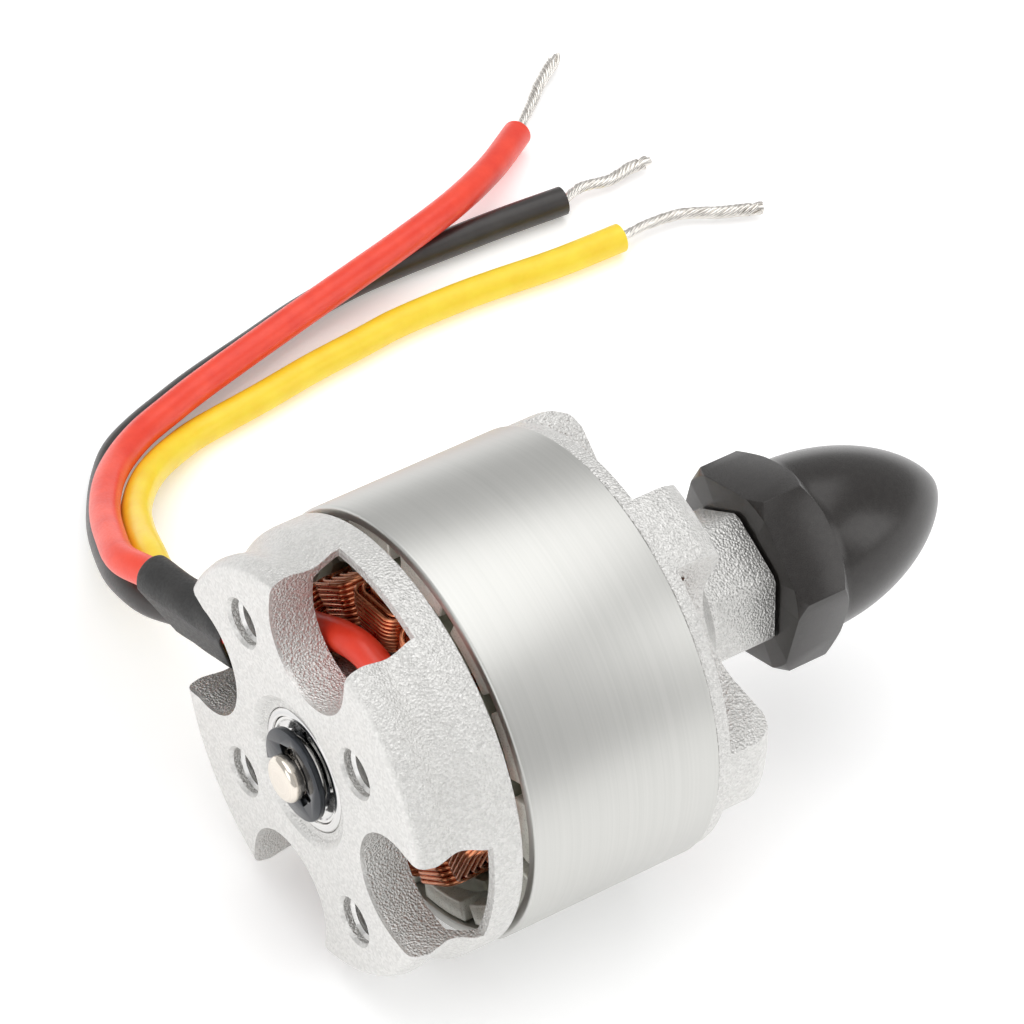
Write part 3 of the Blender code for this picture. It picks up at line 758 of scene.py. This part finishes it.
def coil_loop(half_width, rise, corner, r, slant, wobble):
    """One turn round a tooth: points (x, tangential, radial) of a rounded rectangle."""
    length = (STATOR_END - STATOR_START) / 2 + rise
    middle = (STATOR_END + STATOR_START) / 2
    corner = min(corner, half_width * 0.98)
    outline = filleted([(-length, -half_width, corner), (length, -half_width, corner),
                        (length, half_width, corner), (-length, half_width, corner)], steps=6)
    points = []
    for x, y in outline:
        lift = slant * (x / length) + wobble * noise.noise(Vector((x * 0.6, y, r * 3)))
        points.append((middle + x, y, r + lift))
    return points


def make_windings():
    """Each coil: layers of enamelled wire wound round its tooth, proud at both ends."""
    wire, pitch, layers = 0.155, 0.315, 5
    for number in range(TEETH):
        random.seed(f"coil {number}")
        meshes = []
        for layer in range(layers):
            half = 1.08 + wire + layer * 0.27
            rise = STATOR_START - COIL_START - wire - 0.02 - (layers - 1 - layer) * 0.46
            first = 6.95 + (pitch / 2 if layer % 2 else 0)
            lean = 0.07 if layer % 2 else -0.07
            for k in range(int((9.86 - wire - first) / pitch) + 1):
                r = first + k * pitch + random.uniform(-0.02, 0.02)
                width = min(half, r * sin(radians(15)) - wire - 0.04) + random.uniform(-0.03, 0)
                drop = 0.10 * ((r - 8.4) / 1.45) ** 2 * layer / layers
                points = coil_loop(width, rise - drop - random.uniform(0, 0.05), 0.85, r, lean, 0.06)
                points = [(min(max(x, COIL_START + wire), COIL_END - wire), y, z)
                          for x, y, z in points]
                meshes.append(swept([(x, z, y) for x, y, z in points], wire, 8, closed=True))
        coil = joined(meshes)
        coil.transform(Matrix.Rotation(radians(TOOTH_PHASE + 360 * number / TEETH), 4, "X"))
        piece = finish_mesh(f"coil_{number + 1:02d}", coil, COPPER, "stator", 60)
        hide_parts(f"winding_{number + 1:02d}")


# Bearings

def make_bearing(which):
    """Rings and shields of one bearing; its cage stays the frame's, in brass."""
    low, high = BEARINGS[which]
    middle = (low + high) / 2
    outer = [(3.47, high, 0.05), (BEARING_RADIUS, high, 0.18), (BEARING_RADIUS, low, 0.18),
             (3.47, low, 0.05), (3.40, low + 0.45), (3.40, low + 0.9), (3.32, low + 1.0, 0.1)]
    outer += [(r, middle - h) for r, h in ((3.32, 0.62), (3.42, 0.45), (3.46, 0))]
    outer += [(3.42, middle + 0.45), (3.32, middle + 0.62), (3.32, high - 1.0, 0.1),
              (3.40, high - 0.9), (3.40, high - 0.45)]
    inner = [(1.53, high, 0.12), (2.08, high, 0.06), (2.2, middle + 0.62), (2.1, middle),
             (2.2, middle - 0.62), (2.08, low, 0.06), (1.53, low, 0.12)]
    piece = finish_mesh(f"{which}_bearing_outer", lathe(filleted(outer), 96), RING_STEEL, "stator")
    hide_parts(f"{which}_outer_ring")
    piece = finish_mesh(f"{which}_bearing_inner", lathe(filleted(inner), 96), RING_STEEL, "rotor")
    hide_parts(f"{which}_inner_ring")
    for face, start, out in (("rear", low + 0.15, -1), ("front", high - 0.15, 1)):
        shield = [(2.28, 0.0, 0.03), (2.42, 0.0, 0.05), (2.62, -0.09, 0.08), (3.12, -0.09, 0.08),
                  (3.24, 0.04, 0.06), (3.40, 0.04, 0.06), (3.42, -0.1, 0.05), (3.26, -0.16, 0.05),
                  (3.1, -0.24, 0.05), (2.6, -0.24, 0.05), (2.42, -0.15, 0.05), (2.28, -0.15, 0.03)]
        profile = [(r, start + out * h, *f) for r, h, *f in shield]
        piece = finish_mesh(f"{which}_{face}_cover", lathe(filleted(profile), 128), RING_STEEL,
                            "stator")
        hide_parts(f"{which}_{face}_shield")
    cage = frame["nodes"][f"{which}_ball_cage"]
    cage.data.materials.clear()
    cage.data.materials.append(BRASS)


# Rotor

def make_shaft():
    """The steel shaft with its groove for the clip."""
    r = SHAFT_RADIUS
    profile = [(0, SHAFT_END), (r, SHAFT_END, 0.3), (r, CLIP_END + 0.05), (1.15, CLIP_END + 0.05),
               (1.15, CLIP_START - 0.05), (r, CLIP_START - 0.05, 0.05), (r, SHAFT_START, 0.42),
               (0, SHAFT_START)]
    shaft = finish_mesh("steel_shaft", lathe(filleted(profile, False, 6), 96, solid=True),
                        SHAFT_STEEL, "rotor", 25)
    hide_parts("shaft")


def make_retainers():
    """E-clip and thrust shim on the shaft's rear end."""
    outer, seat, relief, mouth = 3.0, 1.22, 2.05, 1.1
    opening = degrees(asin(mouth / outer))
    outline = [(*p, 0.0) for p in arc(outer, opening, 360 - opening, 72)]
    outline[0] = (*outline[0][:2], 0.3)
    outline[-1] = (*outline[-1][:2], 0.3)
    inner = [(*polar(2.0, -33), 0.2)] + arc(seat, -48, -72, 5)
    inner += [(*p, 0.15) for p in (arc(relief, -82, -128, 1))]
    inner += arc(seat, -142, -218, 12) + [(*p, 0.15) for p in arc(relief, -232, -278, 1)]
    inner += arc(seat, -288, -312, 5) + [(*polar(2.0, -327), 0.2)]
    corners = filleted(outline + inner, steps=5)
    mesh = softened(prism(turn(corners, -45), CLIP_START, CLIP_END), 0.05, 2, 50)
    clip = finish_mesh("e_clip", mesh, CLIP, "rotor")
    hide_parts("retaining_clip")
    shim = filleted([(1.56, 0.32, 0.04), (2.05, 0.32, 0.06), (2.05, 0.12, 0.06), (1.56, 0.12, 0.04)])
    shim = finish_mesh("thrust_shim", lathe(shim, 96), RING_STEEL, "rotor")
    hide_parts("shim_washer")


def make_can():
    """The steel flux ring."""
    inner = CAN_RADIUS - 0.75
    profile = [(inner, CAN_END, 0.05), (CAN_RADIUS, CAN_END, 0.08), (CAN_RADIUS, CAN_START, 0.22),
               (inner, CAN_START, 0.12)]
    can = finish_mesh("flux_ring", lathe(filleted(profile), 256), CAN_STEEL, "rotor", 40)
    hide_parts("rotor_can")


def make_magnets():
    """Fourteen arc magnets inside the can."""
    half, inner, outer = 10.1, 11.75, 13.12
    outline = arc(outer, -half, half, 10) + arc(inner, half, -half, 10)
    mesh = softened(prism(outline, MAGNET_START, MAGNET_END), 0.14, 3, 40)
    for number in range(MAGNETS):
        copy = mesh.copy()
        copy.transform(Matrix.Rotation(radians(MAGNET_PHASE + 360 * number / MAGNETS), 4, "X"))
        piece = finish_mesh(f"arc_magnet_{number + 1:02d}", copy, NICKEL, "rotor", 40)
        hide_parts(f"magnet_{number + 1:02d}")


def spoke_gap():
    """Outline of the opening between two spokes, round at its inner end."""
    half_spoke, reach, half_gap, inner_end = 2.5, 9.0, 180 / SPOKES, 7.1
    across, forward = sin(radians(half_gap)), cos(radians(half_gap))
    centre = (inner_end - half_spoke) / (1 - across)
    fillet = centre * across - half_spoke
    far = (centre - fillet * across + reach * forward, fillet * forward + reach * across)
    return arc(fillet, 90 + half_gap, 270 - half_gap, 32, (centre, 0)) + [(far[0], -far[1]), far]


def rounded_hexagon(flat, corner, phase, steps=5):
    """A hexagon whose corners lie on a circle."""
    half = degrees(acos(flat / corner))
    points = []
    for number in range(6):
        middle = phase + 60 * number
        points += arc(corner, middle + half, middle + 60 - half, steps)
    return points


def make_bell():
    """Spoked cap, hexagon and threaded stud."""
    start = MAGNET_END + 0.2
    bottom = BEARINGS["upper"][1] + 0.06
    corners = [
        (0, 31.2), (4.0, 31.2), (4.0, 27.0), (4.62, 26.85, 0.3), (6.75, BELL_TOP, 0.8),
        (12.2, BELL_TOP, 1.2),
        (13.15, 24.6, 0.9), (BELL_RADIUS, 23.5, 1.4), (BELL_RADIUS, CAN_END + 0.05, 0.1),
        (13.14, CAN_END + 0.05), (13.14, start, 0.15), (12.4, start, 0.1), (12.4, BELL_LIP),
        (11.8, BELL_UNDER, 0.6), (4.2, BELL_UNDER, 0.4), (3.9, 21.0, 0.1), (2.1, 20.7, 0.1),
        (2.1, bottom, 0.06), (SHAFT_RADIUS + 0.01, bottom), (SHAFT_RADIUS + 0.01, 29.7), (0, 29.7),
    ]
    body = lathe(filleted(corners, False, 6), 160, solid=True)
    collar = prism(rounded_hexagon(4.1, 4.6, FLATS_PHASE), 26.4, 31.6)
    collar = combined(collar, [cylinder(SHAFT_RADIUS + 0.4, 20, 29.7, steps=64)])
    gaps = [prism(turn(spoke_gap(), SPOKE_PHASE + (180 + 360 * k) / SPOKES), BELL_LIP, BELL_TOP + 2)
            for k in range(SPOKES)]
    mesh = combined(combined(body, gaps), [collar], "UNION")
    mesh = softened(mesh, 0.22, 3, 38)
    bell = finish_mesh("spoked_bell", mesh, ALUMINIUM, "rotor", 30)
    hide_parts("bell")
    stud = [(0, STUD_END), (2.4, STUD_END, 0.3), (2.4, 31.0), (0, 31.0)]
    finish_mesh("stud_core", lathe(filleted(stud, False), 64, solid=True), STUD, "rotor")
    ridge = thread(2.38, STUD_RADIUS, STUD_PITCH, 31.2, STUD_END)
    finish_mesh("stud_thread", ridge, STUD, "rotor", 20)


def make_nut():
    """Hexagon and bullet nose in one piece."""
    bore, reach, blank = 3.0, NUT_TIP - CONE_START, NUT_CORNER + 0.3
    cone = []
    for i in range(41):
        share = sin(pi / 2 * i / 40)
        cone.append((CONE_RADIUS * (1 - share * share) ** 0.66, CONE_START + reach * share))
    body = [(0, NUT_TIP)] + cone[-2:0:-1]
    body += [(CONE_RADIUS, CONE_START - 0.1), (6.05, 35.72, 0.15), (blank, 34.72),
             (blank, NUT_START + 0.78), (6.3, NUT_START, 0.1), (3.45, NUT_START, 0.05),
             (bore, NUT_START + 0.45), (bore, STUD_END + 0.4), (0, STUD_END + 1.6)]
    corners = [polar(NUT_CORNER, NUT_PHASE + 60 * k) for k in range(6)]
    hexagon = prism(corners, NUT_START - 1, NUT_TIP + 1)
    mesh = combined(lathe(filleted(body, False), 144, solid=True), [hexagon], "INTERSECT")
    nut = finish_mesh("bullet_nut", softened(mesh, 0.09, 2, 25), NUT, "prop_nut", 30)
    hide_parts("prop_nut")


def make_stage():
    """Pale flat floor, soft light from above and both sides."""
    size = 4.0
    work = bmesh.new()
    bmesh.ops.create_grid(work, x_segments=1, y_segments=1, size=size)
    mesh = bpy.data.meshes.new("floor")
    work.to_mesh(mesh)
    work.free()
    mesh.materials.append(FLOOR)
    floor = bpy.data.objects.new("floor", mesh)
    floor.location.z = TABLE * MM - 0.00005
    bpy.context.scene.collection.objects.link(floor)
    world = bpy.data.worlds.new("studio")
    bpy.context.scene.world = world
    world.use_nodes = True
    background = world.node_tree.nodes["Background"]
    background.inputs["Color"].default_value = (1.0, 1.0, 1.0, 1)
    background.inputs["Strength"].default_value = 0.58
    bpy.context.scene.view_settings.view_transform = "Standard"
    bpy.context.scene.view_settings.look = "None"
    for name, place, size, power in LIGHTS:
        data = bpy.data.lights.new(name, "AREA")
        data.shape, data.size, data.size_y = "RECTANGLE", size[0], size[1]
        data.energy = power
        light = bpy.data.objects.new(name, data)
        light.location = place
        light.rotation_euler = (-Vector(place)).to_track_quat("-Z", "Y").to_euler()
        bpy.context.scene.collection.objects.link(light)


make_leads()
make_sleeve()
make_base()
make_core()
make_windings()
make_bearing("lower")
make_bearing("upper")
make_shaft()
make_retainers()
make_can()
make_magnets()
make_bell()
make_nut()
make_stage()
